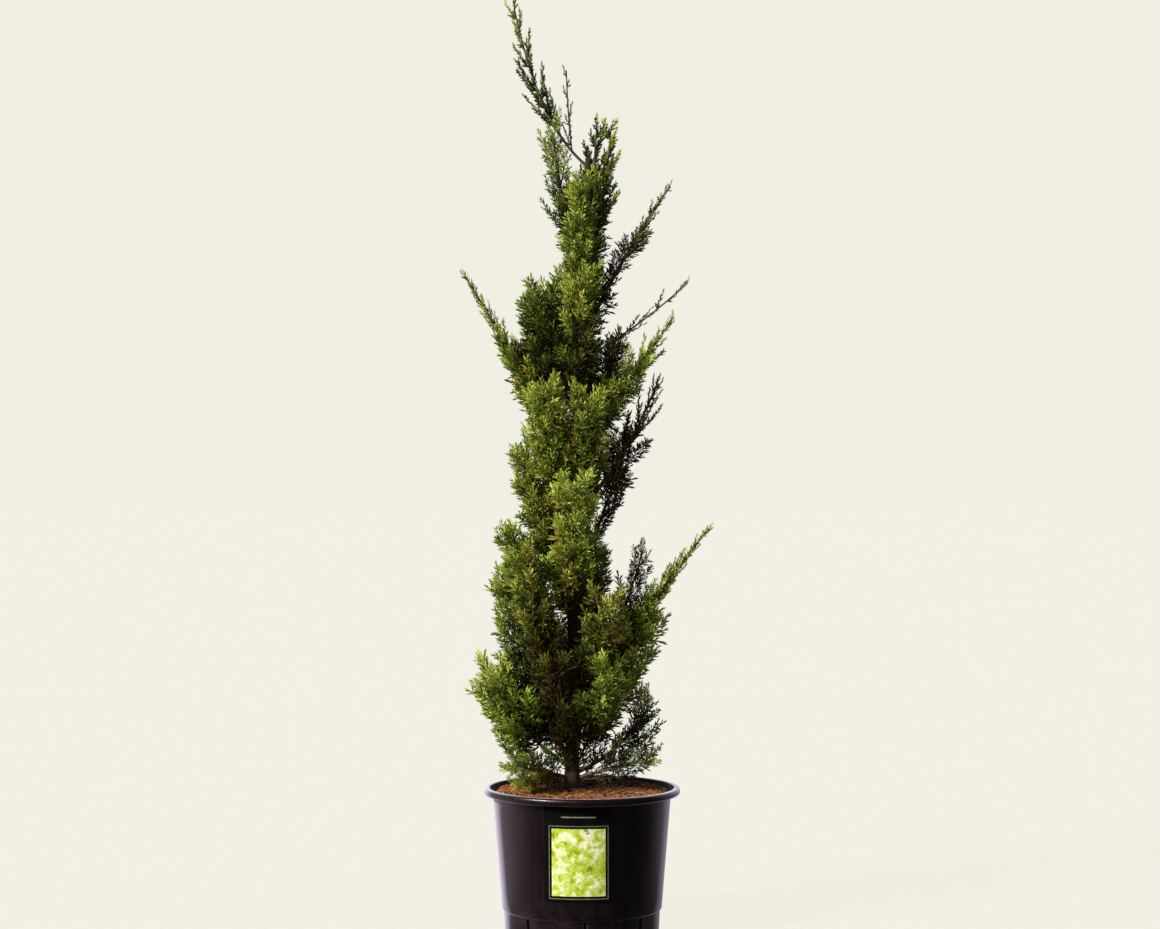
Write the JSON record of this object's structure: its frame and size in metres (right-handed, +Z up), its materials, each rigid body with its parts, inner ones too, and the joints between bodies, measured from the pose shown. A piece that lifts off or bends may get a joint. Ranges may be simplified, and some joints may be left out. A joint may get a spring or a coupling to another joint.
{
  "type": "potted chinese juniper",
  "caption": "Young Chinese juniper in a black nursery pot: an upright trunk with rising plumes of scale-leaf foliage in a slim column over bark compost, with a plain label card.",
  "frame": {"origin": "middle of the pot's flat underside", "axes": "+Z up along the plant; the label card faces -Y; +X is to the right seen from the label's side"},
  "size_m": [0.3924, 0.3282, 1.4617],
  "materials": {
    "pot": "dusty black moulded plastic",
    "compost": "coarse bark and coir mulch",
    "card": "laminated card",
    "bark": "stringy reddish brown bark",
    "foliage": "matt scale leaves"
  },
  "bodies": {
    "root": {"bough_base_left": "bark", "bough_fan_left": "bark", "bough_fan_right": "bark", "bough_leader": "bark", "bough_low_left": "bark", "bough_low_right": "bark", "bough_skirt_right": "bark", "bough_spire_dark": "bark", "bough_spire_high": "bark", "bough_spire_left": "bark", "bough_spire_low": "bark", "bough_spire_mid": "bark", "bough_spire_thin": "bark", "foliage_base_back": "foliage", "foliage_base_front_left": "foliage", "foliage_base_front_right": "foliage", "foliage_base_left": "foliage", "foliage_crest_back": "foliage", "foliage_crest_left": "foliage", "foliage_crest_right": "foliage", "foliage_fan_left": "foliage", "foliage_fan_right": "foliage", "foliage_leader": "foliage", "foliage_leader_spire": "foliage", "foliage_low_back_left": "foliage", "foliage_low_back_right": "foliage", "foliage_low_front_left": "foliage", "foliage_low_front_right": "foliage", "foliage_low_left": "foliage", "foliage_low_right": "foliage", "foliage_mid_back_left": "foliage", "foliage_mid_back_right": "foliage", "foliage_mid_front_left": "foliage", "foliage_mid_front_right": "foliage", "foliage_neck_back": "foliage", "foliage_neck_front": "foliage", "foliage_neck_left": "foliage", "foliage_neck_right": "foliage", "foliage_shoulder_back": "foliage", "foliage_shoulder_front": "foliage", "foliage_shoulder_left": "foliage", "foliage_shoulder_right": "foliage", "foliage_skirt_front": "foliage", "foliage_skirt_left": "foliage", "foliage_skirt_right": "foliage", "foliage_spire_dark": "foliage", "foliage_spire_high": "foliage", "foliage_spire_left": "foliage", "foliage_spire_low": "foliage", "foliage_spire_mid": "foliage", "foliage_spire_thin": "foliage", "foliage_waist_back": "foliage", "foliage_waist_front": "foliage", "foliage_waist_left": "foliage", "foliage_waist_right": "foliage", "label_card": "card", "pot": "pot", "soil": "compost", "trunk": "bark"}
  },
  "joints": []
}
